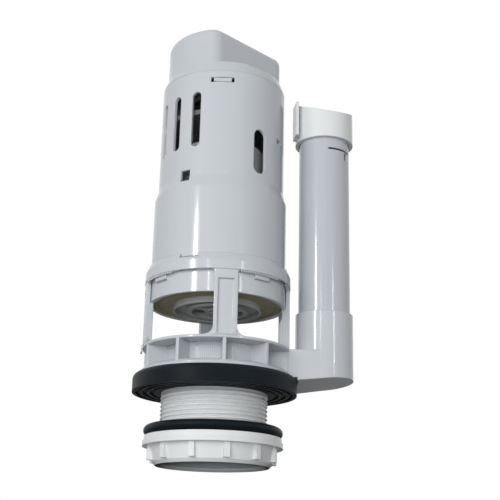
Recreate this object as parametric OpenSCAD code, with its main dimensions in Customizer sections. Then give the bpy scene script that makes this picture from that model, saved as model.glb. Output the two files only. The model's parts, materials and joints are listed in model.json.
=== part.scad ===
// Dual flush valve for a toilet tank, drawn open: seal lifted, full key down, half key up.
// Millimetres. Z is the outlet axis, z = 0 the tank floor, +X points to the overflow tube.

/* [Outlet] */
// Outside diameter of the outlet thread
thread_d = 59.6; // [52:0.1:66]
// Depth of the outlet thread
thread_depth = 1.2; // [0.8:0.1:1.5]
// Bore of the outlet
outlet_d = 52; // [44:0.5:54]
// Length of the shank below the tank floor
shank_l = 37.5; // [34:0.5:60]

/* [Tank joint] */
// Outside diameter of the tank gasket
gasket_d = 92; // [88:0.5:104]
// Height of the tank gasket
gasket_h = 10; // [8:0.5:14]
// Space between the tank gasket and the back washer
clamp_gap = 18; // [12:0.5:24]
// Width of the back washer's ring
washer_w = 8.4; // [6:0.2:12]
// Height of the back washer
washer_h = 5.75; // [4:0.25:7]
// Wall of the lock nut around the thread
nut_wall = 4.8; // [4:0.2:8]
// Reach of the lock nut's rim over its wall
nut_rim = 3.85; // [2:0.05:8]
// Height of the lock nut
nut_h = 15.65; // [14:0.05:20]
// Number of finger ribs on the lock nut
nut_rib_n = 12; // [8:1:16]

/* [Base] */
// Outside diameter of the base flange
flange_d = 84; // [84:0.5:100]
// Thickness of the base flange
flange_t = 3; // [2:0.2:5]
// Number of ribs around the base
rib_n = 10; // [8:1:16]
// Thickness of a base rib
rib_t = 1.9; // [1.4:0.1:3]
// Height of a base rib
rib_h = 11.2; // [9:0.2:18]

/* [Cage] */
// Thickness of a pillar beside the canister
pillar_t = 2.4; // [2.2:0.1:4]
// Thickness of the foot ring
ring_t = 1.5; // [1.2:0.1:3]
// Angle that a pillar takes
pillar_a = 18; // [14:1:22]
// Height of the bayonet collar
collar_h = 9.7; // [8:0.1:11]
// Height of the collar over the canister's lower edge
collar_rise = 12; // [11:0.5:16]

/* [Valve] */
// Lift of the seal
lift = 23; // [14:0.5:24]
// Thickness of the seal
seal_t = 2.5; // [2:0.1:4]
// Diameter of the stem
stem_d = 9.6; // [8:0.1:10]
// Diameter of the floats
float_d = 48; // [40:1:60]
// Travel of the half float
half_travel = 9; // [5:0.5:14]
// Height of the full float
full_float_h = 24; // [16:0.5:30]

/* [Canister] */
// Outside diameter of the canister's lower part
skirt_d = 77.7; // [75:0.1:82]
// Outside diameter of the canister's upper part
upper_d = 74; // [71:0.1:77]
// Wall of the canister
shell_wall = 2; // [1.6:0.1:2.6]
// Height of the canister's lower part
skirt_h = 61.7; // [58:0.5:80]
// Height of the canister's upper part
upper_h = 65; // [62:0.5:90]
// Turn of the canister in the cage
canister_turn = 37; // [20:1:60]
// Width of the tall slots
slot_w = 5.4; // [3:0.1:6]
// Length of the tall slots
slot_l = 34; // [26:0.5:38]

/* [Cover and keys] */
// Ledge of the canister around the ends of the tower
tower_ledge = 2.2; // [1.8:0.1:4]
// Width of the tower over its flats
tower_w = 42.8; // [36:0.2:50]
// Wall of the tower
tower_wall = 2.2; // [1.6:0.1:3]
// Height of a key
key_h = 5; // [4:0.2:8]
// Space between the stem's head and a pressed key
key_over = 1.25; // [0.8:0.05:8]

/* [Overflow] */
// Space between the cage and the overflow tube
tube_gap = 5.9; // [5:0.1:14]
// Outside diameter of the overflow tube
tube_d = 30.2; // [26:0.2:34]
// Wall of the overflow tube
tube_wall = 1.6; // [1.2:0.1:2]
// Length of the overflow tube
tube_l = 137; // [120:1:170]
// Height of the tube's socket over the arm
socket_h = 23.1; // [18:0.5:30]
// Wall of the tube's socket
socket_wall = 1.4; // [1.2:0.1:2]
// Length of tube that the cap covers
cap_cover = 10; // [8:0.5:14]

/* [Hidden] */
$fn = 96;

// Clearances
slack = 0.3;
fit = 0.08;
seat_gap = 0.05;
eps = 0.01;

// Base and seat
thread_r = thread_d / 2;
root_r = thread_r - thread_depth;
neck_h = 1;
bore_r = outlet_d / 2;
flange_r = flange_d / 2;
flange_edge = 1.5;
gasket_r = gasket_d / 2;
collar_in = skirt_d / 2 + 0.35;
cage_r = collar_in + pillar_t;
ring_r = cage_r - 0.25;
flange_z = gasket_h;
rib_z = flange_z + flange_t;
ring_z = rib_z + rib_h;
ring_top = ring_z + ring_t;
seat_z = ring_top + 1.8;
seat_lip = 1.2;

// Nut and washer
washer_top = -clamp_gap;
nut_top = washer_top - washer_h - seat_gap;
nut_bore_r = root_r + slack;
washer_in = thread_r + slack;
nut_body_r = washer_in + nut_wall;
nut_r = nut_body_r + nut_rim;
washer_r = washer_in + washer_w;
nut_rim_t = 5.5;
nut_end_r = nut_body_r - 1.7;
nut_chamfer = 1.8;
nut_lead = 1.1;
nut_rib_w = 3.3;
nut_rib_out = 1.2;
nut_rib_at = 6;

// Seal and stem
stem_r = stem_d / 2;
seal_z = seat_z + 0.2 + lift;
seal_r = skirt_d / 2 - shell_wall - 0.35;
carrier_z = seal_z + seal_t;
carrier_t = 2.8;
shoulder_z = carrier_z + carrier_t;
shoulder_h = 3.5;
retainer_r = bore_r - 0.7;
retainer_t = 3.4;
retainer_in = retainer_r * 0.58;
spigot_t = 1.4;
seal_in = retainer_in + spigot_t + 0.1;
tail_l = 4.2;
tail_z = seal_z - tail_l;
skirt_lip = 0.9;

// Canister
skirt_r = skirt_d / 2;
upper_r = upper_d / 2;
bore_low = skirt_r - shell_wall;
bore_up = upper_r - shell_wall;
skirt_z = seal_z - skirt_lip;
step_z = skirt_z + skirt_h;
step_h = 6.5;
shell_top = step_z + step_h + upper_h;
floor_z = shoulder_z + shoulder_h + 1;
floor_t = 2.5;
guide_h = 8;
guide_r = stem_r + 4;
collar_z = skirt_z + collar_rise;
lug_r = collar_in + 1.4;
lug_h = 3;
lug_a = 14;
lug_at = 31;
unlock_a = 29;
pillar_n = 4;
pillar_in = skirt_r - 1.65;

// Levers in the head of the canister
pivot_drop = 6;
pivot_z = shell_top - pivot_drop;
pin_r = 1.5;
tip_r = 1.5;
play = 0.7;
push_arm = 8.3;
latch_arm = 14.3;
post_out = upper_r - tower_ledge - tower_wall - slack - 0.4;
post_x = post_out - 0.6;
rocker_x = push_arm - post_x;
latch_x = post_x - latch_arm;
fork_arm = -rocker_x - 4;
pawl_l = 21.5;
swing = asin(lift / 2 / fork_arm);
key_travel = 2 * push_arm * sin(swing);
latch_swing = asin(key_travel / 2 / latch_arm);
prong_in = stem_r + 1.2;
prong_out = prong_in + 2.5;
hub_r = 4;
latch_w = 4;
latch_half = 2.5;
latch_room = 1;
cheek_t = 2.5;
cheek_gap = 0.6;
bridge_drop = 20;
bridge_z = pivot_z - bridge_drop;
bridge_t = 3;
bridge_r = bore_up - 0.5;
head_z = pivot_z + lift / 2 + tip_r + play;
head_t = 4.5;
head_r = 12;
head_flat = -rocker_x - fork_arm * cos(swing) - 0.8;

// Floats
stop_h = 2;
stop_z = floor_z + guide_h + lift + 0.5;
full_z = stop_z + stop_h;
clip_t = 2;
float_room = 3;
half_top = bridge_z - float_room - half_travel;
clip_z = full_z + full_float_h;
sleeve_drop = 4;
half_z = clip_z + clip_t + sleeve_drop;
float_r = float_d / 2;
float_wall = 1.6;

// Cover and keys
deck_h = 7;
deck_z = shell_top + deck_h;
tower_r = upper_r - tower_ledge;
tower_flat = tower_w / 2;
tower_round = 8.6;
tower_root = 2;
divider_t = 1.5;
key_gap = 0.6;
key_wall = 1.8;
key_top = head_z + head_t + key_over + key_h + key_travel;
tower_top = key_top + key_gap;
tower_h = tower_top - deck_z;
post_w = 7;
post_in = post_x - 2.7;
post_toe = post_x - 1;
snap_z = shell_top - 6;
tongue_w = 10.4;
tongue_gap = 1.5;
spring_x = latch_x + 6;
spring_r = 3.6;
wire_r = 0.4;
spring_turns = 7;
shelf_z = deck_z;

// Overflow
tube_r = tube_d / 2;
tube_x = cage_r + tube_gap + tube_r;
tube_in = tube_r - tube_wall;
socket_r = tube_r + 0.2 + socket_wall;
socket_top = ring_top + socket_h;
tube_seal_t = 2;
tube_seal_z = ring_top + 1.3;
tube_z = tube_seal_z + tube_seal_t;
tube_top = tube_z + tube_l;
cap_wall = 2.15;
cap_r = tube_r + 0.25 + cap_wall;
cap_z = tube_top - cap_cover;
cap_tilt = 24;
cap_lean = 5.3;
cap_mid = 14.5;
arm_wall = 2.2;
arm_tilt = 6;
arm_uphill = -37;
arm_sag = 0.9;
arm_drop = 8;
near_a = 8;
far_a = acos((flange_r - socket_r) / tube_x);

// Helpers

module ring(r_out, r_in, z, h) {
    translate([0, 0, z])
        difference() {
            cylinder(r = r_out, h = h);
            translate([0, 0, -1])
                cylinder(r = r_in, h = h + 2);
        }
}

// Part of a ring, centred on the angle
module sector(r_in, r_out, z, h, angle, span) {
    rotate([0, 0, angle - span / 2])
        rotate_extrude(angle = span)
            translate([r_in, z])
                square([r_out - r_in, h]);
}

// Upright slot with round ends, cut through a wall from outside
module round_slot(angle, r, z_low, z_high, width) {
    reach = 10;
    rotate([0, 0, angle])
        translate([r - reach / 2, 0, 0]) {
            translate([0, -width / 2, z_low + width / 2])
                cube([reach, width, z_high - z_low - width]);
            for (z = [z_low + width / 2, z_high - width / 2])
                translate([0, 0, z])
                    rotate([0, 90, 0])
                        cylinder(d = width, h = reach);
        }
}

module box_cut(angle, r, z, width, height) {
    reach = 10;
    rotate([0, 0, angle])
        translate([r - reach / 2, -width / 2, z])
            cube([reach, width, height]);
}

// Round bar between two points at one height, lying along X
module bar(x_from, x_to, y_from, y_to, r) {
    translate([x_from, y_from, -r])
        cube([x_to - x_from, y_to - y_from, 2 * r]);
    translate([x_to, y_from, 0])
        rotate([-90, 0, 0])
            cylinder(r = r, h = y_to - y_from);
}

module pin_at(x, r, half_l) {
    translate([x, -half_l, pivot_z])
        rotate([-90, 0, 0])
            cylinder(r = r, h = 2 * half_l);
}

module in_canister() {
    rotate([0, 0, canister_turn])
        children();
}

// Base

// Walls of the arm from the base to the socket, which they enter just inside its round
module arm_plan() {
    in_r = socket_r - 0.4;
    rim_r = flange_r - 2;
    near = [tube_x - in_r * sin(near_a), -in_r * cos(near_a)];
    far = [tube_x + in_r * cos(far_a), in_r * sin(far_a)];
    rim = [rim_r * cos(far_a), rim_r * sin(far_a)];
    root = [root_r, near[1] + (near[0] - root_r) * tan(near_a)];
    polygon([root, near, [tube_x, 0], far, rim, [0, root_r], [0, 0]]);
}

module arm() {
    difference() {
        translate([0, 0, flange_z - arm_drop]) {
            linear_extrude(ring_top - flange_z + arm_drop)
                arm_plan();
            translate([tube_x, 0, 0])
                cylinder(r = socket_r, h = socket_top - flange_z + arm_drop);
        }
        translate([tube_x, 0, flange_z - arm_sag])
            rotate([0, 0, arm_uphill])
                rotate([0, -arm_tilt, 0])
                    translate([-2 * tube_x, -2 * tube_x, -4 * arm_drop])
                        cube([4 * tube_x, 4 * tube_x, 4 * arm_drop]);
        translate([0, 0, flange_z - 2 * arm_drop])
            cylinder(r = gasket_r + 0.6, h = 2 * arm_drop);
        translate([0, 0, ring_z])
            cylinder(r = cage_r + slack, h = 2 * ring_t);
    }
}

module overflow_way() {
    way_w = 2 * (socket_r - arm_wall - 3.5);
    translate([bore_r - 4, -way_w / 2, rib_z - 0.6])
        cube([tube_x - bore_r + 4, way_w, ring_z - rib_z - 0.4]);
    translate([tube_x, 0, rib_z - 0.6])
        cylinder(r = tube_in - 0.5, h = socket_top);
    translate([tube_x, 0, tube_seal_z])
        cylinder(r = tube_r + 0.2, h = socket_top);
}

module valve_base() {
    color("gainsboro")
        difference() {
            union() {
                translate([0, 0, -shank_l])
                    cylinder(r = root_r, h = shank_l);
                translate([0, 0, -neck_h])
                    cylinder(r = thread_r, h = neck_h + seat_z - seat_lip);
                translate([0, 0, seat_z - seat_lip])
                    cylinder(r1 = thread_r - 0.3, r2 = thread_r - 0.3 - seat_lip, h = seat_lip);
                translate([0, 0, flange_z])
                    cylinder(r = flange_r, h = flange_t - flange_edge);
                translate([0, 0, rib_z - flange_edge - eps])
                    cylinder(r1 = flange_r, r2 = flange_r - flange_edge, h = flange_edge + eps);
                for (i = [0 : rib_n - 1])
                    rotate([0, 0, i * 360 / rib_n - 90])
                        translate([thread_r - 1, -rib_t / 2, rib_z - flange_edge])
                            cube([ring_r - thread_r + 1, rib_t, rib_h + flange_edge]);
                arm();
            }
            translate([0, 0, -shank_l - 1])
                cylinder(r = bore_r, h = shank_l + seat_z + 2);
            overflow_way();
        }
}

// Cage

module pillar() {
    edge = 2.2;
    panel = 1.4;
    panel_a = pillar_a - 2 * edge / cage_r * 180 / PI;
    difference() {
        union() {
            sector(pillar_in, cage_r, ring_top - eps, skirt_z - seat_gap - ring_top + eps, 0, pillar_a);
            sector(collar_in, cage_r, skirt_z - seat_gap - eps, collar_z - skirt_z + 1, 0, pillar_a);
        }
        sector(cage_r - panel, cage_r + 1, ring_top + 0.8, collar_z - ring_top - 6, 0, panel_a);
    }
    foot_fillets(ring_top - eps, 5);
    translate([0, 0, 2 * collar_z])
        mirror([0, 0, 1])
            foot_fillets(collar_z - eps, 2.4);
}

// Concave fillets beside a pillar, on a ring below it
module foot_fillets(z, r) {
    depth = cage_r - collar_in - 0.6;
    for (side = [0, 1])
        mirror([0, side, 0])
            rotate([0, 0, pillar_a / 2])
                translate([collar_in + 0.2, -0.3, z])
                    difference() {
                        cube([depth, r + 0.3, r]);
                        translate([-1, r + 0.3, r])
                            rotate([0, 90, 0])
                                cylinder(r = r, h = depth + 2);
                    }
}

module clip_nub() {
    nub_w = 5;
    nub_h = 2.5;
    nub_t = 1;
    root = 1;
    translate([ring_r - root, -nub_w / 2, ring_z])
        cube([root + nub_t, nub_w, ring_t]);
    translate([ring_r + seat_gap, -nub_w / 2, ring_z - nub_h])
        cube([nub_t - seat_gap, nub_w, nub_h + eps]);
}

module cage() {
    cone = 4.2;
    color("gainsboro") {
        ring(ring_r, thread_r + slack, ring_z, ring_t);
        for (i = [0 : pillar_n - 1])
            rotate([0, 0, i * 360 / pillar_n])
                pillar();
        for (a = [90, 180])
            rotate([0, 0, a])
                clip_nub();
        difference() {
            union() {
                translate([0, 0, collar_z])
                    cylinder(r = cage_r + slack, h = collar_h - cone);
                translate([0, 0, collar_z + collar_h - cone - eps])
                    cylinder(r1 = cage_r + slack, r2 = collar_in + 0.8, h = cone);
            }
            translate([0, 0, collar_z - 1])
                cylinder(r = collar_in, h = collar_h + 2);
            for (i = [0 : pillar_n - 1])
                sector(collar_in - 1, lug_r + slack, collar_z - 1, collar_h + 2,
                       i * 360 / pillar_n + lug_at + unlock_a, lug_a + 2);
        }
    }
}

// Tank joint

module tank_gasket() {
    edge = 3;
    groove = 1.2;
    step = (gasket_r - thread_r) / 4;
    color("#1c1e22")
        difference() {
            union() {
                ring(gasket_r - edge, thread_r + 0.2, 0, gasket_h);
                ring(gasket_r, gasket_r - edge - eps, 0, gasket_h - edge);
                translate([0, 0, gasket_h - edge])
                    rotate_extrude()
                        translate([gasket_r - edge, 0])
                            intersection() {
                                circle(r = edge);
                                square(edge);
                            }
            }
            for (i = [1 : 3])
                ring(thread_r + i * step + step / 2, thread_r + i * step, -groove, 2 * groove);
        }
}

module back_washer() {
    round = washer_h / 2;
    color("#1c1e22")
        rotate_extrude() {
            translate([washer_in, washer_top - washer_h])
                square([washer_r - round - washer_in, washer_h]);
            translate([washer_r - round, washer_top - round])
                intersection() {
                    circle(r = round);
                    translate([-eps, -round])
                        square([round + eps, washer_h]);
                }
        }
}

module lock_nut() {
    low = nut_top - nut_h;
    tier = nut_rim_t / 2;
    rib_l = nut_h - nut_rim_t - nut_chamfer;
    color("whitesmoke")
        difference() {
            union() {
                rotate_extrude()
                    polygon([[0, low], [nut_end_r - nut_chamfer, low], [nut_end_r, low + nut_chamfer],
                             [nut_body_r, nut_top - nut_rim_t], [nut_r, nut_top - nut_rim_t],
                             [nut_r, nut_top - tier], [nut_r - 0.8, nut_top - tier], [nut_r - 0.8, nut_top],
                             [0, nut_top]]);
                for (i = [0 : nut_rib_n - 1])
                    rotate([0, 0, i * 360 / nut_rib_n + nut_rib_at])
                        translate([nut_end_r - 1, -nut_rib_w / 2, low + nut_chamfer + 0.5])
                            cube([nut_body_r - nut_end_r + nut_rib_out + 1, nut_rib_w, rib_l]);
            }
            translate([0, 0, low - 1])
                cylinder(r = nut_bore_r, h = nut_h + 2);
            translate([0, 0, low - nut_lead])
                cylinder(r1 = nut_bore_r + 2 * nut_lead, r2 = nut_bore_r, h = 2 * nut_lead);
        }
}

// Overflow

module tube_seal() {
    color("#1c1e22")
        translate([tube_x, 0, 0])
            ring(tube_r, tube_in - 0.5, tube_seal_z, tube_seal_t);
}

module overflow_tube() {
    slit_z = cap_z - 7.5;
    slit_h = 1.2;
    slit_a = 69;
    notch_h = 5;
    notch_a = 13;
    color("lightgray")
        translate([tube_x, 0, 0])
            difference() {
                ring(tube_r, tube_in, tube_z, tube_l);
                sector(tube_in - 1, tube_r + 1, slit_z, slit_h, -58, slit_a);
                sector(tube_in - 1, tube_r + 1, slit_z - notch_h - 0.5, notch_h, -43, notch_a);
            }
}

// Cylinder under the cap's slanted top, lowered by a drop
module cap_form(r, drop) {
    difference() {
        translate([0, 0, cap_z])
            cylinder(r = r, h = cap_cover + 2 * cap_mid);
        translate([0, 0, tube_top + cap_mid - drop])
            rotate([cap_tilt, cap_lean, 0])
                translate([-2 * cap_r, -2 * cap_r, 0])
                    cube(4 * cap_r);
    }
}

module overflow_cap() {
    tab_t = 1.6;
    tab_w = 11;
    tab_h = 22;
    web_t = 3;
    mouth_w = 15;
    mouth_h = 10;
    color("white")
        translate([tube_x, 0, 0])
            difference() {
                union() {
                    cap_form(cap_r, 0);
                    translate([-cap_r - 2, -tab_w, cap_z + 2])
                        cube([tab_t, tab_w, tab_h]);
                    translate([-cap_r - 1, -web_t, cap_z + 2])
                        cube([cap_wall + 2, web_t, tab_h]);
                }
                cap_form(tube_in, 2);
                translate([0, 0, cap_z - 1])
                    cylinder(r = tube_r + 0.25, h = cap_cover + 1);
                translate([-mouth_w / 2, 0, tube_top + 1.2])
                    cube([mouth_w, 2 * cap_r, mouth_h]);
            }
}

// Canister

module shell_profile(low_r, up_r, z_low, z_high) {
    polygon([[0, z_low], [low_r, z_low], [low_r, step_z], [up_r, step_z + step_h], [up_r, z_high],
             [0, z_high]]);
}

module shell_cuts() {
    slot_top = shell_top - 13;
    slot_step = 21.5;
    port_z = step_z + step_h + 4;
    port_l = 27;
    port_w = 8;
    for (i = [-1 : 1])
        round_slot(180 + i * slot_step, upper_r, slot_top - slot_l, slot_top, slot_w);
    for (a = [-98, 82])
        round_slot(a, upper_r, port_z, port_z + port_l, port_w);
    box_cut(193, upper_r + 1, step_z + 4, 6, 6.5);
    box_cut(-70, upper_r, port_z + port_l - 3, 5.5, 3);
    for (a = [-135, 45])
        box_cut(a, upper_r, snap_z - 1.5, tongue_w + 2 * tongue_gap, 3);
}

module canister_shell() {
    ledge_h = 5;
    drain_n = 6;
    color("gainsboro")
        in_canister() {
            difference() {
                rotate_extrude()
                    shell_profile(skirt_r, upper_r, skirt_z, shell_top);
                rotate_extrude()
                    shell_profile(bore_low, bore_up, skirt_z - 1, shell_top + 1);
                shell_cuts();
            }
            difference() {
                union() {
                    translate([0, 0, floor_z])
                        cylinder(r = bore_low + 0.5, h = floor_t);
                    translate([0, 0, floor_z])
                        cylinder(r = guide_r, h = guide_h);
                }
                translate([0, 0, floor_z - 1])
                    cylinder(r = stem_r + fit, h = guide_h + 2);
                for (i = [0 : drain_n - 1])
                    rotate([0, 0, i * 360 / drain_n])
                        translate([(guide_r + bore_low) / 2, 0, floor_z - 1])
                            cylinder(r = 8, h = floor_t + 2);
            }
            for (a = [30, 150, 210, 330])
                sector(bore_up - 2, bore_up + 0.5, bridge_z - ledge_h, ledge_h, a, 10);
        }
    color("gainsboro")
        for (i = [0 : pillar_n - 1])
            sector(skirt_r - 0.5, lug_r, collar_z - slack - lug_h, lug_h, i * 360 / pillar_n + lug_at, lug_a);
}

// Outline of the tower: a round plate with two flats and round corners
module tower_plan(inset) {
    r = tower_r - inset;
    flat = tower_flat - inset;
    corner = tower_round - inset;
    corner_y = tower_flat - tower_round;
    corner_x = sqrt(pow(tower_r - tower_round, 2) - pow(corner_y, 2));
    square([2 * corner_x, 2 * flat], center = true);
    for (sx = [-1, 1])
        for (sy = [-1, 1])
            translate([sx * corner_x, sy * corner_y])
                circle(r = corner);
    for (s = [0, 1])
        mirror([s, 0])
            intersection() {
                circle(r = r);
                polygon([[0, 0], [2 * corner_x, 2 * corner_y], [2 * corner_x, -2 * corner_y]]);
            }
}

module tongue() {
    hook = 1.8;
    back = sqrt(pow(bore_up - 2 * slack, 2) - pow(tongue_w / 2, 2));
    translate([back - 1.7, -tongue_w / 2, snap_z - 3])
        cube([1.7, tongue_w, shell_top - snap_z + 3 + eps]);
    translate([back - 0.5, -tongue_w / 2, snap_z - 1.2])
        cube([bore_up - back + 0.5 + hook, tongue_w, 2.4]);
}

module top_cover() {
    spigot_h = 3.4;
    spigot_wall = 1.4;
    rim = 1.5;
    shelf_w = 9.5;
    shelf_t = 3.6;
    peg_h = 4;
    color("gainsboro")
        in_canister() {
            difference() {
                union() {
                    translate([0, 0, shell_top])
                        cylinder(r1 = upper_r, r2 = tower_r - slack, h = deck_h);
                    translate([0, 0, deck_z - tower_root])
                        linear_extrude(tower_h + tower_root)
                            tower_plan(0);
                    ring(bore_up - slack, bore_up - slack - spigot_wall, shell_top - spigot_h, spigot_h + eps);
                }
                translate([0, 0, shell_top - eps])
                    linear_extrude(deck_h + tower_h + 1)
                        tower_plan(tower_wall);
            }
            translate([-divider_t / 2, -tower_flat + rim, head_z + head_t + key_over])
                cube([divider_t, tower_w - 2 * rim, tower_top - head_z - head_t - key_over]);
            translate([spring_x - shelf_w / 2, -tower_flat + rim, shelf_z - shelf_t])
                cube([shelf_w, tower_w - 2 * rim, shelf_t]);
            translate([spring_x, 0, shelf_z - eps])
                cylinder(r = spring_r - 2 * wire_r - 0.3, h = peg_h);
            for (a = [-135, 45])
                rotate([0, 0, a])
                    tongue();
        }
}

// Levers

module clevis(x, half_in) {
    for (side = [0, 1])
        mirror([0, side, 0])
            difference() {
                union() {
                    translate([x - hub_r, half_in, bridge_z + bridge_t - eps])
                        cube([2 * hub_r, cheek_t, pivot_z - bridge_z - bridge_t + eps]);
                    translate([x, half_in, pivot_z])
                        rotate([-90, 0, 0])
                            cylinder(r = hub_r, h = cheek_t);
                }
                pin_at(x, pin_r + 0.02, half_in + 2 * cheek_t);
            }
}

module lever_bridge() {
    slot_half = pawl_l * sin(latch_swing) + 2;
    color("silver")
        in_canister() {
            difference() {
                translate([0, 0, bridge_z])
                    cylinder(r = bridge_r, h = bridge_t);
                translate([0, 0, bridge_z - 1])
                    cylinder(r = stem_r + fit, h = bridge_t + 2);
                translate([latch_x - slot_half, -latch_half - latch_room, bridge_z - 1])
                    cube([2 * slot_half, 2 * (latch_half + latch_room), bridge_t + 2]);
                for (side = [-1, 1])
                    translate([0, side * bridge_r * 0.62, bridge_z - 1])
                        cylinder(r = 9, h = bridge_t + 2);
            }
            clevis(rocker_x, prong_out + cheek_gap);
            clevis(latch_x, latch_w + cheek_gap);
        }
}

module rocker_pin() {
    color("lightsteelblue")
        in_canister()
            pin_at(rocker_x, pin_r, prong_out + cheek_gap + cheek_t);
}

module latch_pin() {
    color("lightsteelblue")
        in_canister()
            pin_at(latch_x, pin_r, latch_w + cheek_gap + cheek_t);
}

module full_rocker() {
    web = 9;
    color("silver")
        in_canister()
            translate([rocker_x, 0, pivot_z])
                rotate([0, -swing, 0])
                    difference() {
                        union() {
                            rotate([90, 0, 0])
                                cylinder(r = hub_r, h = 2 * prong_out, center = true);
                            for (side = [0, 1])
                                mirror([0, side, 0])
                                    bar(0, fork_arm, prong_in, prong_out, tip_r);
                            translate([0, -prong_in - eps, -tip_r])
                                cube([web, 2 * prong_in + 2 * eps, 2 * tip_r]);
                            mirror([1, 0, 0])
                                bar(0, push_arm, -3, 3, tip_r);
                        }
                        rotate([90, 0, 0])
                            cylinder(r = pin_r + fit, h = 3 * prong_out, center = true);
                    }
}

module half_latch() {
    pawl_t = 2.4;
    color("silver")
        in_canister()
            translate([latch_x, 0, pivot_z])
                rotate([0, -latch_swing, 0])
                    difference() {
                        union() {
                            rotate([90, 0, 0])
                                cylinder(r = hub_r - 0.5, h = 2 * latch_w, center = true);
                            bar(0, latch_arm, -latch_half, latch_half, tip_r);
                            translate([-pawl_t / 2, -latch_half, -pawl_l])
                                cube([pawl_t, 2 * latch_half, pawl_l]);
                        }
                        rotate([90, 0, 0])
                            cylinder(r = pin_r + fit, h = 3 * latch_w, center = true);
                    }
}

// Half of the tower's opening, on the +X side
module key_plan(inset) {
    intersection() {
        tower_plan(tower_wall + slack + inset);
        translate([divider_t / 2 + slack + inset, -tower_w])
            square([2 * tower_r, 2 * tower_w]);
    }
}

// Key with its top and the toe of its post at given heights
module key(z_top, z_post) {
    difference() {
        translate([0, 0, z_top - key_h])
            linear_extrude(key_h)
                key_plan(0);
        translate([0, 0, z_top - key_h - 1])
            linear_extrude(key_h - key_wall + 1)
                key_plan(key_wall);
    }
    translate([0, post_w / 2, 0])
        rotate([90, 0, 0])
            linear_extrude(post_w)
                polygon([[post_toe, z_post], [post_out, z_post], [post_out, z_top - 1], [post_in, z_top - 1],
                         [post_in, z_post + post_toe - post_in]]);
}

module full_key() {
    color("white")
        in_canister()
            mirror([1, 0, 0])
                key(key_top - key_travel, pivot_z - push_arm * sin(swing) + tip_r + play);
}

module half_key() {
    color("white")
        in_canister()
            key(key_top, pivot_z + key_travel / 2 + tip_r + play);
}

module half_turn(r) {
    rotate_extrude(angle = 180, $fn = 32)
        translate([r, 0])
            circle(r = wire_r, $fn = 10);
}

// Coil of half turns: one level, the next tilted up by a pitch
module half_key_spring() {
    spring_h = key_top - key_wall - shelf_z - 2 * wire_r - seat_gap;
    pitch = spring_h / spring_turns;
    rise = atan(pitch / 2 / spring_r);
    tilt_r = spring_r / cos(rise);
    color("lightsteelblue")
        in_canister()
            translate([spring_x, 0, shelf_z + wire_r])
                for (i = [0 : spring_turns - 1])
                    translate([0, 0, i * pitch]) {
                        half_turn(spring_r);
                        translate([0, 0, pitch / 2])
                            rotate([0, -rise, 0])
                                rotate([0, 0, 180])
                                    half_turn(tilt_r);
                    }
}

// Stem group

module stem() {
    color("silver") {
        translate([0, 0, tail_z])
            cylinder(r = stem_r, h = head_z - tail_z + eps);
        translate([0, 0, shoulder_z])
            cylinder(r = stem_r + 3.2, h = shoulder_h);
        translate([0, 0, stop_z])
            cylinder(r = stem_r + 2.2, h = stop_h);
        in_canister()
            translate([0, 0, head_z])
                difference() {
                    cylinder(r = head_r, h = head_t);
                    translate([-2 * head_r - head_flat, -head_r, -1])
                        cube([2 * head_r, 2 * head_r, head_t + 2]);
                }
    }
}

module seal_carrier() {
    rib_w = 1.6;
    carrier_r = seal_r - 2;
    hub = stem_r + 3.2;
    color("silver")
        difference() {
            union() {
                translate([0, 0, carrier_z])
                    cylinder(r = carrier_r, h = carrier_t);
                for (i = [0 : 5])
                    rotate([0, 0, i * 60])
                        translate([hub + 1, -rib_w / 2, carrier_z])
                            cube([carrier_r - hub - 3, rib_w, carrier_t + 1.6]);
            }
            translate([0, 0, carrier_z - 1])
                cylinder(r = stem_r + fit, h = carrier_t + 2);
        }
}

module main_seal() {
    lip_w = 2.6;
    groove_w = 0.8;
    groove = 0.4;
    color("#8a7f5a")
        difference() {
            ring(seal_r, seal_in, seal_z, seal_t);
            ring(seal_r - lip_w, seal_r - lip_w - groove_w, seal_z - groove, 2 * groove);
        }
}

module seal_retainer() {
    rim = 1;
    wall = 2.8;
    floor_h = 1.2;
    spoke_n = 3;
    spoke_w = 2.4;
    hub = stem_r + 2.4;
    hub_low = tail_z + 0.6;
    low = seal_z - retainer_t;
    high = carrier_z - seat_gap;
    color("#9a9c98")
        difference() {
            union() {
                ring(retainer_r, retainer_in, seal_z - floor_h, floor_h);
                ring(retainer_r, retainer_r - rim, low, retainer_t);
                ring(retainer_in + wall, retainer_in, low, retainer_t);
                ring(retainer_in + spigot_t, retainer_in, seal_z - eps, high - seal_z + eps);
                translate([0, 0, hub_low])
                    cylinder(r = hub, h = high - hub_low);
                for (i = [0 : spoke_n - 1])
                    rotate([0, 0, i * 360 / spoke_n - 30])
                        translate([0, -spoke_w / 2, low])
                            cube([retainer_in + wall / 2, spoke_w, seal_z - low]);
            }
            translate([0, 0, tail_z - 1])
                cylinder(r = stem_r + fit, h = carrier_z - tail_z + 2);
        }
}

// Inverted cup on a sleeve, the sleeve from a lower end of its own
module float_cup(z, h, sleeve_z, bore) {
    ring(float_r, float_r - float_wall, z, h);
    ring(float_r - eps, bore, z + h - float_wall, float_wall);
    ring(bore + float_wall, bore, sleeve_z, z + h - sleeve_z);
}

module full_float() {
    color("white")
        float_cup(full_z, full_float_h, full_z, stem_r + 0.1);
}

module float_clip() {
    gap = 5;
    clip_w = 3.4;
    color("lightsteelblue")
        difference() {
            ring(stem_r + clip_w, stem_r + 0.05, clip_z, clip_t);
            translate([0, -gap / 2, clip_z - 1])
                cube([2 * stem_d, gap, clip_t + 2]);
        }
}

module half_float() {
    color("white")
        float_cup(half_z, half_top - half_z, clip_z + clip_t + seat_gap, stem_r + fit);
}

valve_base();
cage();
tank_gasket();
back_washer();
lock_nut();
tube_seal();
overflow_tube();
overflow_cap();
canister_shell();
top_cover();
lever_bridge();
rocker_pin();
latch_pin();
half_key_spring();
full_rocker();
half_latch();
full_key();
half_key();
stem();
seal_carrier();
main_seal();
seal_retainer();
full_float();
float_clip();
half_float();
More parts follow.
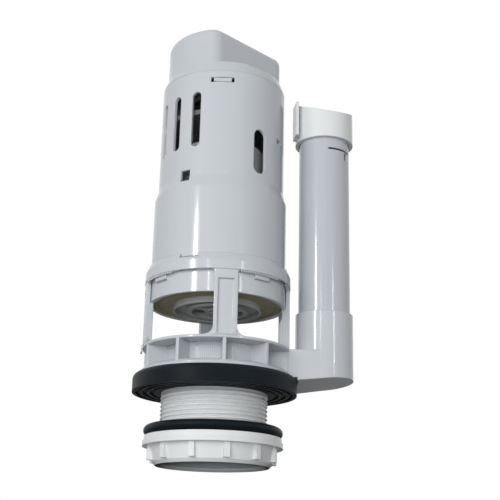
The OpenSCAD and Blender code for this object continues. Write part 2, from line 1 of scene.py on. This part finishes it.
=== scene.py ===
import json
import math

import bmesh
import bpy
from mathutils import Matrix, Vector


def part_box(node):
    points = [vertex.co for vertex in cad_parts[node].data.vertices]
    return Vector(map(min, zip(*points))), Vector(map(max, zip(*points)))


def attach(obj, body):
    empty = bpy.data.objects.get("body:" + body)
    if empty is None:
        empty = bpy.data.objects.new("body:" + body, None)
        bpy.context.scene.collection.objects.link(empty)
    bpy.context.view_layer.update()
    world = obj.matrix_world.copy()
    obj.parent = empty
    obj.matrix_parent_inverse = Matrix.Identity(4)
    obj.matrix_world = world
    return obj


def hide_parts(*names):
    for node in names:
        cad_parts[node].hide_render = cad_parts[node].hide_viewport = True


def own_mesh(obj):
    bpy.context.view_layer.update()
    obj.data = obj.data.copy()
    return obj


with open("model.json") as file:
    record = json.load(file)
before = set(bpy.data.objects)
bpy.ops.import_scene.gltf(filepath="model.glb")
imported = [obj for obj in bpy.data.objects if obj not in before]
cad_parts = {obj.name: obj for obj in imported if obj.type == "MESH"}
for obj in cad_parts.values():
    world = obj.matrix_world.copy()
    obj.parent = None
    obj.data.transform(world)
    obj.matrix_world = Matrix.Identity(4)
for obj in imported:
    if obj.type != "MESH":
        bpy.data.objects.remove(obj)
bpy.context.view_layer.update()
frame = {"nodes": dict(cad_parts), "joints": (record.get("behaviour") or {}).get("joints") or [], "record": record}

bl_info = {
    "name": "Flush Valve Finish",
    "version": (1, 0, 0),
    "blender": (4, 5, 0),
    "location": "View3D > Sidebar > Flush Valve",
    "description": "Thread, flutes, teeth, cover, key spring, finishes and studio for a dual flush valve",
    "category": "Object",
}

MM = 0.001
NODES = frame["nodes"]
SLOT_OF = {row["node"]: row["material_slot"] for row in frame["record"]["subparts"]}
# The lever bridge wears painted shade: a near black copy of the inner plastic stands in for the shade inside the
# canister behind the slots.
OWN_LOOK = {"lever_bridge": "shaded_plastic"}
NUT_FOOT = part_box("lock_nut")[0].z
SHANK_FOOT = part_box("valve_base")[0].z
SPRING_LOW, SPRING_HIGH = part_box("half_key_spring")

# Fineness of the meshes
MERGE = 1e-6
THREAD_STEPS = 120
SPRING_STEPS = 28
WIRE_SIDES = 12
FLUTE_SIDES = 6
ROUND_STEPS = 6

# Floor: half its width, its grey in bounced light and its grey to the eye
FLOOR_HALF = 3
FLOOR_LIT = (0.48, 0.48, 0.48)
FLOOR_SEEN = (0.88, 0.88, 0.88)


# Meshes

def mesh_piece(name, bm, body, look, crease=35):
    """Turn a bmesh into a piece on a body that wears a finish, sharp past the crease angle."""
    bmesh.ops.remove_doubles(bm, verts=bm.verts, dist=MERGE)
    bmesh.ops.recalc_face_normals(bm, faces=bm.faces)
    mesh = bpy.data.meshes.new(name)
    bm.to_mesh(mesh)
    bm.free()
    for face in mesh.polygons:
        face.use_smooth = True
    mesh.set_sharp_from_angle(angle=math.radians(crease))
    mesh.materials.append(look)
    piece = bpy.data.objects.new(name, mesh)
    bpy.context.scene.collection.objects.link(piece)
    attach(piece, body)
    return piece


def coil(bm, profile, turns, pitch, steps):
    """Spin a closed loop of edges about Z into a rising coil and close its ends."""
    start = bmesh.ops.contextual_create(bm, geom=profile)["faces"]
    loop = list({edge for face in start for edge in face.edges})
    verts = list({vert for edge in loop for vert in edge.verts})
    count = round(turns * steps)
    made = bmesh.ops.spin(bm, geom=verts + loop, cent=(0, 0, 0), axis=(0, 0, 1),
                          dvec=(0, 0, pitch / steps), angle=math.tau * turns,
                          steps=count, use_merge=False, use_duplicate=False)
    last = [item for item in made["geom_last"] if isinstance(item, bmesh.types.BMEdge)]
    bmesh.ops.contextual_create(bm, geom=last)


def copy_around(bm, angle, copies):
    """Repeat all of a mesh about Z, the last copy at the angle."""
    bmesh.ops.spin(bm, geom=bm.verts[:] + bm.edges[:] + bm.faces[:], cent=(0, 0, 0), axis=(0, 0, 1),
                   angle=angle, steps=copies, use_duplicate=True)


# Finishes

class Value:
    """A number socket of a look; arithmetic on it adds Math nodes."""

    def __init__(self, look, socket):
        self.look = look
        self.socket = socket

    def _math(self, operation, first, second):
        return self.look.add("ShaderNodeMath", {"operation": operation}, {0: first, 1: second})

    def __add__(self, other):
        return self._math("ADD", self, other)

    __radd__ = __add__

    def __sub__(self, other):
        return self._math("SUBTRACT", self, other)

    def __rsub__(self, other):
        return self._math("SUBTRACT", other, self)

    def __mul__(self, other):
        return self._math("MULTIPLY", self, other)

    __rmul__ = __mul__


class Look:
    """Nodes of a material or a world, added in a few calls."""

    def __init__(self, owner):
        self.owner = owner
        owner.use_nodes = True
        self.tree = owner.node_tree
        self.tree.nodes.clear()

    @property
    def place(self):
        """Place on the piece itself."""
        return self.add("ShaderNodeTexCoord", output="Object")

    def add(self, kind, settings=None, inputs=None, output=0):
        """Add a node, set it up, feed its sockets and give back one output."""
        node = self.tree.nodes.new(kind)
        for name, setting in (settings or {}).items():
            setattr(node, name, setting)
        for key, given in (inputs or {}).items():
            if isinstance(given, Value):
                self.tree.links.new(given.socket, node.inputs[key])
            else:
                node.inputs[key].default_value = given
        return Value(self, node.outputs[output]) if len(node.outputs) else None

    def noise(self, scale, detail, place=None):
        """Centred noise, from about -0.5 to 0.5."""
        grain = self.add("ShaderNodeTexNoise", {},
                         {"Vector": place or self.place, "Scale": scale, "Detail": detail})
        return grain - 0.5

    def stretched(self, factors):
        """Place with each axis scaled, for streaks."""
        return self.add("ShaderNodeVectorMath", {"operation": "MULTIPLY"}, {0: self.place, 1: factors})

    def tint(self, low, high, factor):
        """Colour that goes from low to high with a factor."""
        return self.add("ShaderNodeMix", {"data_type": "RGBA"},
                        {0: factor, 6: (*low, 1), 7: (*high, 1)}, output=2)

    def rounded_edges(self, radius):
        """Normal that softens moulded edges."""
        return self.add("ShaderNodeBevel", {"samples": 6}, {"Radius": radius})

    def finish(self, **inputs):
        """Close the look with a Principled surface."""
        named = {key.replace("_", " "): given for key, given in inputs.items()}
        surface = self.add("ShaderNodeBsdfPrincipled", {}, named)
        self.add("ShaderNodeOutputMaterial", {}, {"Surface": surface})
        return self.owner


def shade(colour, factor):
    """Darker or lighter colour."""
    return tuple(channel * factor for channel in colour)


def moulded_plastic(name, colour, gloss, edge=0.45 * MM):
    """Injection moulded plastic: faint flow streaks, orange peel and soft edges."""
    look = Look(bpy.data.materials.new(name))
    streaks = look.noise(55, 3, look.stretched((1, 1, 0.3)))
    cloud = look.noise(14, 2)
    grain = look.noise(900, 2)
    tone = streaks * 0.7 + cloud * 0.6 + 0.5
    base = look.tint(shade(colour, 0.95), shade(colour, 1.04), tone)
    rough = streaks * 0.10 + grain * 0.06 + gloss
    height = grain * 0.35 + look.noise(240, 1) * 0.65
    normal = look.add("ShaderNodeBump", {}, {"Strength": 0.12, "Distance": 0.05 * MM, "Height": height,
                                             "Normal": look.rounded_edges(edge)})
    return look.finish(Base_Color=base, Roughness=rough, Normal=normal, IOR=1.5)


def drawn_tube(name, colour):
    """Extruded tube with fine lines along its length."""
    look = Look(bpy.data.materials.new(name))
    lines = look.noise(700, 2, look.stretched((1, 1, 0.02)))
    cloud = look.noise(18, 2)
    base = look.tint(shade(colour, 0.94), shade(colour, 1.05), lines * 0.8 + cloud * 0.5 + 0.5)
    rough = lines * 0.10 + cloud * 0.05 + 0.15
    normal = look.add("ShaderNodeBump", {}, {"Strength": 0.04, "Distance": 0.03 * MM, "Height": lines,
                                             "Normal": look.rounded_edges(0.3 * MM)})
    return look.finish(Base_Color=base, Roughness=rough, Normal=normal, IOR=1.5)


def rubber(name, colour, gloss, grain_size):
    """Moulded rubber with a dusty, slightly uneven skin."""
    look = Look(bpy.data.materials.new(name))
    dust = look.noise(60, 5)
    grain = look.noise(grain_size, 3)
    base = look.tint(shade(colour, 0.75), shade(colour, 1.35), dust * 0.9 + grain * 0.5 + 0.45)
    rough = dust * 0.2 + grain * 0.12 + gloss
    normal = look.add("ShaderNodeBump", {}, {"Strength": 0.25, "Distance": 0.08 * MM, "Height": grain,
                                             "Normal": look.rounded_edges(0.5 * MM)})
    return look.finish(Base_Color=base, Roughness=rough, Normal=normal, Specular_IOR_Level=0.12)


def drawn_steel(name, colour):
    """Bright wire and pins with fine drawing lines."""
    look = Look(bpy.data.materials.new(name))
    lines = look.noise(2500, 2, look.stretched((1, 1, 0.2)))
    base = look.tint(shade(colour, 0.9), shade(colour, 1.08), lines + 0.5)
    rough = lines * 0.15 + 0.26
    return look.finish(Base_Color=base, Roughness=rough, Metallic=1.0)


LOOKS = {}

# Lamps: name, azimuth, elevation, distance, width and height, power, seen in the gloss
LIT_POINT = Vector((0.005, 0, 0.085))
LAMPS = (
    ("key_light", -128, 14, 1.2, (0.6, 0.5), 4.9, False),
    ("front_light", -98, 4, 1.2, (0.8, 0.24), 2.8, False),
    ("low_light", -104, -11, 1.1, (0.5, 0.12), 3.4, False),
    ("left_strip", -136, 13.8, 0.9, (0.065, 0.165), 1.8, True),
    ("front_strip", -112, 12, 0.9, (0.015, 0.08), 0.14, True),
    ("right_strip", -60, 10.5, 0.9, (0.035, 0.14), 0.32, True),
)


class ColourSettings(bpy.types.PropertyGroup):
    """Colours of the finishes."""

    body: bpy.props.FloatVectorProperty(
        name="Body", description="Pale grey plastic of the canister, cage and base",
        subtype="COLOR", size=3, min=0, max=1, default=(0.54, 0.57, 0.60))
    # Thread colour is painted light: much paler than the body plastic the shank is moulded in, to make up for the
    # shade between the ridges and under the gasket.
    thread: bpy.props.FloatVectorProperty(
        name="Thread", description="Paler, light-painted plastic of the outlet thread",
        subtype="COLOR", size=3, min=0, max=1, default=(0.87, 0.875, 0.88))
    white: bpy.props.FloatVectorProperty(
        name="White", description="Whiter plastic of the nut, cap and keys",
        subtype="COLOR", size=3, min=0, max=1, default=(0.76, 0.78, 0.785))
    tube: bpy.props.FloatVectorProperty(
        name="Tube", description="Blue-grey plastic of the overflow tube",
        subtype="COLOR", size=3, min=0, max=1, default=(0.50, 0.53, 0.57))
    inner: bpy.props.FloatVectorProperty(
        name="Inner", description="Grey plastic of the inner parts",
        subtype="COLOR", size=3, min=0, max=1, default=(0.37, 0.385, 0.38))
    # Bridge colour is painted shade: the bar behind the slots is made near black to stand in for the shade inside
    # the canister.
    bridge: bpy.props.FloatVectorProperty(
        name="Bridge", description="Dark painted shade of the lever bridge behind the slots",
        subtype="COLOR", size=3, min=0, max=1, default=(0.09, 0.095, 0.10))
    rubber: bpy.props.FloatVectorProperty(
        name="Rubber", description="Black rubber of the gasket and washer",
        subtype="COLOR", size=3, min=0, max=1, default=(0.005, 0.008, 0.011))
    seal: bpy.props.FloatVectorProperty(
        name="Seal", description="Olive tan silicone of the main seal",
        subtype="COLOR", size=3, min=0, max=1, default=(0.33, 0.29, 0.18))
    steel: bpy.props.FloatVectorProperty(
        name="Steel", description="Bright steel of the pins and the spring",
        subtype="COLOR", size=3, min=0, max=1, default=(0.62, 0.63, 0.64))


class ThreadSettings(bpy.types.PropertyGroup):
    """Sizes of the outlet thread."""

    root: bpy.props.FloatProperty(
        name="Root radius", description="Radius at the foot of a ridge, sunk in the shank",
        subtype="DISTANCE", unit="LENGTH", default=28.4 * MM)
    crest: bpy.props.FloatProperty(
        name="Crest radius", description="Radius over the ridges",
        subtype="DISTANCE", unit="LENGTH", default=29.8 * MM)
    pitch: bpy.props.FloatProperty(
        name="Pitch", description="Rise of one turn",
        subtype="DISTANCE", unit="LENGTH", default=2.309 * MM)
    top: bpy.props.FloatProperty(
        name="Top", description="Height where the thread runs out",
        subtype="DISTANCE", unit="LENGTH", default=0.4 * MM)


class FluteSettings(bpy.types.PropertyGroup):
    """Sizes of the barrel's flutes."""

    count: bpy.props.IntProperty(
        name="Count", description="Flutes around the barrel", default=180, min=60)
    width: bpy.props.FloatProperty(
        name="Width", description="Width of a flute",
        subtype="DISTANCE", unit="LENGTH", default=0.7 * MM)
    barrel: bpy.props.FloatProperty(
        name="Barrel radius", description="Radius of the barrel that carries them",
        subtype="DISTANCE", unit="LENGTH", default=29.7 * MM)
    low: bpy.props.FloatProperty(
        name="Low end", description="Height of the lower ends, in the flange",
        subtype="DISTANCE", unit="LENGTH", default=12.8 * MM)
    high: bpy.props.FloatProperty(
        name="High end", description="Height of the upper ends, under the foot ring",
        subtype="DISTANCE", unit="LENGTH", default=24.1 * MM)
    way: bpy.props.FloatProperty(
        name="Way", description="Half angle left bare at the overflow way",
        subtype="ANGLE", default=math.radians(25))


class TeethSettings(bpy.types.PropertyGroup):
    """Sizes of the collar's teeth."""

    count: bpy.props.IntProperty(
        name="Count", description="Teeth in a row beside a pillar", default=19, min=2)
    start: bpy.props.FloatProperty(
        name="Start", description="Angle from a pillar's middle to the first tooth",
        subtype="ANGLE", default=math.radians(11.5))
    span: bpy.props.FloatProperty(
        name="Span", description="Angle from the first tooth to the last",
        subtype="ANGLE", default=math.radians(34))
    width: bpy.props.FloatProperty(
        name="Width", description="Width of a tooth",
        subtype="DISTANCE", unit="LENGTH", default=0.8 * MM)
    height: bpy.props.FloatProperty(
        name="Height", description="Height of a tooth",
        subtype="DISTANCE", unit="LENGTH", default=1.4 * MM)
    depth: bpy.props.FloatProperty(
        name="Depth", description="Depth of a tooth towards the canister",
        subtype="DISTANCE", unit="LENGTH", default=0.8 * MM)
    collar: bpy.props.FloatProperty(
        name="Collar radius", description="Outside radius of the collar",
        subtype="DISTANCE", unit="LENGTH", default=41.9 * MM)
    low_edge: bpy.props.FloatProperty(
        name="Low edge", description="Height of the collar's lower edge",
        subtype="DISTANCE", unit="LENGTH", default=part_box("cage")[1].z - 9.7 * MM)


class CoverSettings(bpy.types.PropertyGroup):
    """Sizes of the top cover."""

    top_round: bpy.props.FloatProperty(
        name="Top round", description="Width of the round along the top edge of the tower",
        subtype="DISTANCE", unit="LENGTH", default=1.9 * MM)
    top_depth: bpy.props.FloatProperty(
        name="Top depth", description="Height of the round along the top edge of the tower",
        subtype="DISTANCE", unit="LENGTH", default=4.2 * MM)


class SpringSettings(bpy.types.PropertyGroup):
    """Sizes of the half key's spring."""

    wire: bpy.props.FloatProperty(
        name="Wire radius", description="Radius of the wire",
        subtype="DISTANCE", unit="LENGTH", default=0.4 * MM)
    turns: bpy.props.IntProperty(name="Turns", description="Turns of the coil", default=7, min=3)


class StudioSettings(bpy.types.PropertyGroup):
    """Camera and lamps."""

    camera_at: bpy.props.FloatVectorProperty(
        name="Camera", description="Place of the camera",
        subtype="TRANSLATION", unit="LENGTH", size=3, default=(-0.0584, -0.5447, -0.0892))
    heading: bpy.props.FloatProperty(
        name="Heading", description="Turn of the camera to the right of +Y",
        subtype="ANGLE", default=math.radians(8.0))
    pitch: bpy.props.FloatProperty(
        name="Pitch", description="Upward tilt of the camera",
        subtype="ANGLE", default=math.radians(17.716))
    roll: bpy.props.FloatProperty(
        name="Roll", description="Lean of the camera",
        subtype="ANGLE", default=math.radians(1.355))
    lens: bpy.props.FloatProperty(
        name="Lens", description="Focal length on a 36 mm wide sensor",
        subtype="DISTANCE_CAMERA", default=70.7)
    ambient: bpy.props.FloatProperty(
        name="Ambient", description="Strength of the light from all around", default=0.24, min=0)


class FLUSHVALVE_OT_finishes(bpy.types.Operator):
    """Make the finishes and put them on the moulded parts"""

    bl_idname = "flushvalve.finishes"
    bl_label = "Finishes"

    def execute(self, context):
        colours = context.scene.flushvalve_colours
        LOOKS["body_plastic"] = moulded_plastic("body_plastic", colours.body, gloss=0.13, edge=0.9 * MM)
        LOOKS["white_plastic"] = moulded_plastic("white_plastic", colours.white, gloss=0.22)
        LOOKS["tube_plastic"] = drawn_tube("tube_plastic", colours.tube)
        LOOKS["inner_plastic"] = moulded_plastic("inner_plastic", colours.inner, gloss=0.30)
        # Painted shade: the lever bridge's near black plastic stands in for the shade inside the canister behind
        # the slots.
        LOOKS["shaded_plastic"] = moulded_plastic("shaded_plastic", colours.bridge, gloss=0.40)
        LOOKS["black_rubber"] = rubber("black_rubber", colours.rubber, gloss=0.45, grain_size=700)
        LOOKS["seal_silicone"] = rubber("seal_silicone", colours.seal, gloss=0.40, grain_size=500)
        LOOKS["pin_steel"] = drawn_steel("pin_steel", colours.steel)
        for name, node in NODES.items():
            node.data.materials.clear()
            node.data.materials.append(LOOKS[OWN_LOOK.get(name, SLOT_OF[name])])
        return {"FINISHED"}


class FLUSHVALVE_OT_thread(bpy.types.Operator):
    """Model the outlet thread on the shank"""

    bl_idname = "flushvalve.thread"
    bl_label = "Outlet thread"

    def execute(self, context):
        sizes = context.scene.flushvalve_thread
        sunk = 0.25 * MM
        lead_in = 0.3 * MM
        flank = 0.40 * sizes.pitch
        crown = 0.13 * sizes.pitch
        low = SHANK_FOOT + flank + lead_in
        turns = (sizes.top - flank - low) / sizes.pitch
        outline = [(sizes.root - sunk, -flank), (sizes.root, -flank), (sizes.crest - sunk, -crown),
                   (sizes.crest, -0.5 * crown), (sizes.crest, 0.5 * crown), (sizes.crest - sunk, crown),
                   (sizes.root, flank), (sizes.root - sunk, flank)]
        bm = bmesh.new()
        verts = [bm.verts.new((radius, 0, low + rise)) for radius, rise in outline]
        coil(bm, verts, turns, sizes.pitch, THREAD_STEPS)
        # Painted light: the thread wears a paler copy of the body plastic to make up for the shade between its
        # ridges and under the gasket.
        look = moulded_plastic("thread_plastic", context.scene.flushvalve_colours.thread, gloss=0.25)
        mesh_piece("outlet_thread", bm, "base", look)
        return {"FINISHED"}


class FLUSHVALVE_OT_flutes(bpy.types.Operator):
    """Model the fine upright flutes on the barrel, clear of the overflow way"""

    bl_idname = "flushvalve.flutes"
    bl_label = "Barrel flutes"

    def execute(self, context):
        sizes = context.scene.flushvalve_flutes
        step = math.tau / sizes.count
        first = math.ceil(sizes.way / step)
        bm = bmesh.new()
        bar = bmesh.ops.create_cone(bm, segments=FLUTE_SIDES, radius1=sizes.width / 2,
                                    radius2=sizes.width / 2, depth=sizes.high - sizes.low,
                                    cap_ends=True)["verts"]
        bmesh.ops.translate(bm, verts=bar, vec=(sizes.barrel, 0, (sizes.low + sizes.high) / 2))
        bmesh.ops.rotate(bm, verts=bar, cent=(0, 0, 0), matrix=Matrix.Rotation(first * step, 3, "Z"))
        copies = sizes.count - 2 * first
        copy_around(bm, copies * step, copies)
        mesh_piece("barrel_flutes", bm, "base", LOOKS["body_plastic"])
        return {"FINISHED"}


class FLUSHVALVE_OT_teeth(bpy.types.Operator):
    """Model the rows of fine teeth under the bayonet collar"""

    bl_idname = "flushvalve.teeth"
    bl_label = "Collar teeth"

    def execute(self, context):
        sizes = context.scene.flushvalve_teeth
        quarter = math.pi / 2
        inset = 0.6 * sizes.depth
        drop = 0.3 * sizes.height
        bm = bmesh.new()
        tooth = bmesh.ops.create_cube(bm, size=1)["verts"]
        bmesh.ops.scale(bm, verts=tooth, vec=(sizes.depth, sizes.width, sizes.height))
        bmesh.ops.bevel(bm, geom=bm.edges[:], offset=0.15 * sizes.width, offset_type="OFFSET",
                        segments=1, profile=0.5, affect="EDGES", material=-1)
        bmesh.ops.translate(bm, verts=bm.verts, vec=(sizes.collar - inset, 0, sizes.low_edge - drop))
        bmesh.ops.rotate(bm, verts=bm.verts, cent=(0, 0, 0), matrix=Matrix.Rotation(sizes.start, 3, "Z"))
        for span, copies in ((sizes.span, sizes.count - 1), (3 * quarter, 3)):
            copy_around(bm, span, copies)
        mesh_piece("collar_teeth", bm, "base", LOOKS["body_plastic"])
        return {"FINISHED"}


class FLUSHVALVE_OT_cover(bpy.types.Operator):
    """Round the top edge of the cover's tower"""

    bl_idname = "flushvalve.cover"
    bl_label = "Top cover"

    def execute(self, context):
        sizes = context.scene.flushvalve_cover
        bm = bmesh.new()
        bm.from_mesh(NODES["top_cover"].data)
        bmesh.ops.remove_doubles(bm, verts=bm.verts, dist=MERGE)
        bmesh.ops.dissolve_limit(bm, angle_limit=math.radians(0.5), verts=bm.verts, edges=bm.edges)
        bm.normal_update()
        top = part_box("top_cover")[1].z
        rim = [edge for edge in bm.edges if self.on_rim(edge, top)]
        if not rim:
            raise RuntimeError("the tower has no top edge to round")
        rounded = bmesh.ops.bevel(bm, geom=rim, offset=sizes.top_round, offset_type="OFFSET",
                                  segments=ROUND_STEPS, profile=0.5, affect="EDGES", material=-1,
                                  clamp_overlap=False)["verts"]
        bmesh.ops.scale(bm, verts=rounded, vec=(1, 1, sizes.top_depth / sizes.top_round),
                        space=Matrix.Translation((0, 0, -top)))
        cover = mesh_piece("tower_cover", bm, "canister", LOOKS["body_plastic"],
                           crease=16)
        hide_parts("top_cover")
        return {"FINISHED"}

    def on_rim(self, edge, top):
        """Tell the tower's outer top edge from the edges of its wells."""
        level, upright, outside = 0.01 * MM, 0.1, 10 * MM
        if len(edge.link_faces) != 2 or any(vert.co.z < top - level for vert in edge.verts):
            return False
        middle = (edge.verts[0].co + edge.verts[1].co) / 2
        walls = [face.normal for face in edge.link_faces if abs(face.normal.z) < upright]
        return len(walls) == 1 and walls[0].x * middle.x + walls[0].y * middle.y > outside


class FLUSHVALVE_OT_spring(bpy.types.Operator):
    """Model the half key's return spring as a wire coil"""

    bl_idname = "flushvalve.spring"
    bl_label = "Key spring"

    def execute(self, context):
        sizes = context.scene.flushvalve_spring
        centre = (SPRING_LOW + SPRING_HIGH) / 2
        radius = (SPRING_HIGH.x - SPRING_LOW.x) / 2 - sizes.wire
        height = SPRING_HIGH.z - SPRING_LOW.z - 2 * sizes.wire
        bm = bmesh.new()
        ring = bmesh.ops.create_circle(bm, segments=WIRE_SIDES, radius=sizes.wire)["verts"]
        bmesh.ops.rotate(bm, verts=ring, cent=(0, 0, 0), matrix=Matrix.Rotation(math.pi / 2, 3, "X"))
        bmesh.ops.translate(bm, verts=ring, vec=(radius, 0, SPRING_LOW.z + sizes.wire))
        coil(bm, ring, sizes.turns, height / sizes.turns, SPRING_STEPS)
        bmesh.ops.translate(bm, verts=bm.verts, vec=(centre.x, centre.y, 0))
        spring = mesh_piece("key_spring", bm, "canister", LOOKS["pin_steel"])
        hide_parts("half_key_spring")
        push = next(joint for joint in frame["joints"] if joint["name"] == "half_key_push")
        full = SPRING_HIGH.z - SPRING_LOW.z
        (full + push["range_m"][0]) / full
        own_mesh(spring)
        return {"FINISHED"}


class FLUSHVALVE_OT_stage(bpy.types.Operator):
    """Set up the floor, the lamps, the background and the camera"""

    bl_idname = "flushvalve.stage"
    bl_label = "Studio"

    def execute(self, context):
        scene = context.scene
        studio = scene.flushvalve_studio
        scene.view_settings.view_transform = "Standard"
        self.floor(scene)
        self.world(scene, studio.ambient)
        for lamp in LAMPS:
            self.softbox(scene, *lamp)
        self.camera(scene, studio)
        return {"FINISHED"}

    def floor(self, scene):
        """Pale floor that shows only from above."""
        look = Look(bpy.data.materials.new("pale_floor"))
        seen = look.add("ShaderNodeLightPath", output="Is Camera Ray")
        surface = look.add("ShaderNodeBsdfPrincipled", {}, {
            "Base Color": look.tint(FLOOR_LIT, FLOOR_SEEN, seen),
            "Roughness": 0.7})
        below = look.add("ShaderNodeNewGeometry", output="Backfacing")
        clear = look.add("ShaderNodeBsdfTransparent")
        both = look.add("ShaderNodeMixShader", {}, {0: seen * below, 1: surface, 2: clear})
        look.add("ShaderNodeOutputMaterial", {}, {"Surface": both})
        bm = bmesh.new()
        bmesh.ops.create_grid(bm, x_segments=1, y_segments=1, size=FLOOR_HALF)
        bmesh.ops.translate(bm, verts=bm.verts, vec=(0, 0, NUT_FOOT))
        mesh = bpy.data.meshes.new("floor")
        bm.to_mesh(mesh)
        bm.free()
        mesh.materials.append(look.owner)
        floor = bpy.data.objects.new("floor", mesh)
        scene.collection.objects.link(floor)
        floor.visible_shadow = False

    def world(self, scene, ambient):
        """White where the camera looks, a plain level of light elsewhere."""
        scene.world = bpy.data.worlds.new("studio_world")
        look = Look(scene.world)
        seen = look.add("ShaderNodeLightPath", output="Is Camera Ray")
        for ray in ("Is Glossy Ray", "Is Transmission Ray"):
            other = look.add("ShaderNodeLightPath", output=ray)
            seen = look.add("ShaderNodeMath", {"operation": "MAXIMUM"}, {0: seen, 1: other})
        level = seen * (1 - ambient) + ambient
        back = look.add("ShaderNodeBackground", {}, {"Color": (1, 1, 1, 1), "Strength": level})
        look.add("ShaderNodeOutputWorld", {}, {"Surface": back})

    def softbox(self, scene, name, azimuth, elevation, distance, size, power, mirrored):
        """Area lamp that faces the object: mirrored, it shows only in the gloss, else it only lights."""
        lamp = bpy.data.lights.new(name, "AREA")
        lamp.shape = "RECTANGLE"
        lamp.size, lamp.size_y = size
        lamp.energy = power
        turn, rise = math.radians(azimuth), math.radians(elevation)
        flat = math.cos(rise)
        away = Vector((flat * math.cos(turn), flat * math.sin(turn), math.sin(rise)))
        light = bpy.data.objects.new(name, lamp)
        light.location = LIT_POINT + distance * away
        light.rotation_euler = away.to_track_quat("Z", "Y").to_euler()
        light.visible_glossy = mirrored
        light.visible_diffuse = not mirrored
        scene.collection.objects.link(light)

    def camera(self, scene, studio):
        """Camera below the valve, looking up at it."""
        data = bpy.data.cameras.new("camera")
        data.sensor_width = 36
        data.lens = studio.lens
        data.clip_start = 0.01
        camera = bpy.data.objects.new("camera", data)
        scene.collection.objects.link(camera)
        camera.matrix_world = (Matrix.Translation(studio.camera_at)
                               @ Matrix.Rotation(-studio.heading, 4, "Z")
                               @ Matrix.Rotation(math.pi / 2 + studio.pitch, 4, "X")
                               @ Matrix.Rotation(studio.roll, 4, "Z"))
        scene.camera = camera


class FLUSHVALVE_PT_panel(bpy.types.Panel):
    """Steps and settings of the flush valve"""

    bl_idname = "FLUSHVALVE_PT_panel"
    bl_label = "Flush Valve"
    bl_space_type = "VIEW_3D"
    bl_region_type = "UI"
    bl_category = "Flush Valve"

    def draw(self, context):
        for step in STEPS:
            self.layout.operator(step.bl_idname)
        for name in SETTINGS:
            box = self.layout.box()
            group = getattr(context.scene, name)
            for key in group.__annotations__:
                box.prop(group, key)


STEPS = (FLUSHVALVE_OT_finishes, FLUSHVALVE_OT_thread, FLUSHVALVE_OT_flutes, FLUSHVALVE_OT_teeth,
         FLUSHVALVE_OT_cover, FLUSHVALVE_OT_spring, FLUSHVALVE_OT_stage)
SETTINGS = {
    "flushvalve_colours": ColourSettings,
    "flushvalve_thread": ThreadSettings,
    "flushvalve_flutes": FluteSettings,
    "flushvalve_teeth": TeethSettings,
    "flushvalve_cover": CoverSettings,
    "flushvalve_spring": SpringSettings,
    "flushvalve_studio": StudioSettings,
}
CLASSES = (*SETTINGS.values(), *STEPS, FLUSHVALVE_PT_panel)


def register():
    for item in CLASSES:
        bpy.utils.register_class(item)
    for name, group in SETTINGS.items():
        setattr(bpy.types.Scene, name, bpy.props.PointerProperty(type=group))


def unregister():
    for name in SETTINGS:
        delattr(bpy.types.Scene, name)
    for item in reversed(CLASSES):
        bpy.utils.unregister_class(item)


def main():
    register()
    bpy.ops.flushvalve.finishes()
    bpy.ops.flushvalve.thread()
    bpy.ops.flushvalve.flutes()
    bpy.ops.flushvalve.teeth()
    bpy.ops.flushvalve.cover()
    bpy.ops.flushvalve.spring()
    bpy.ops.flushvalve.stage()


if __name__ == "__main__":
    main()
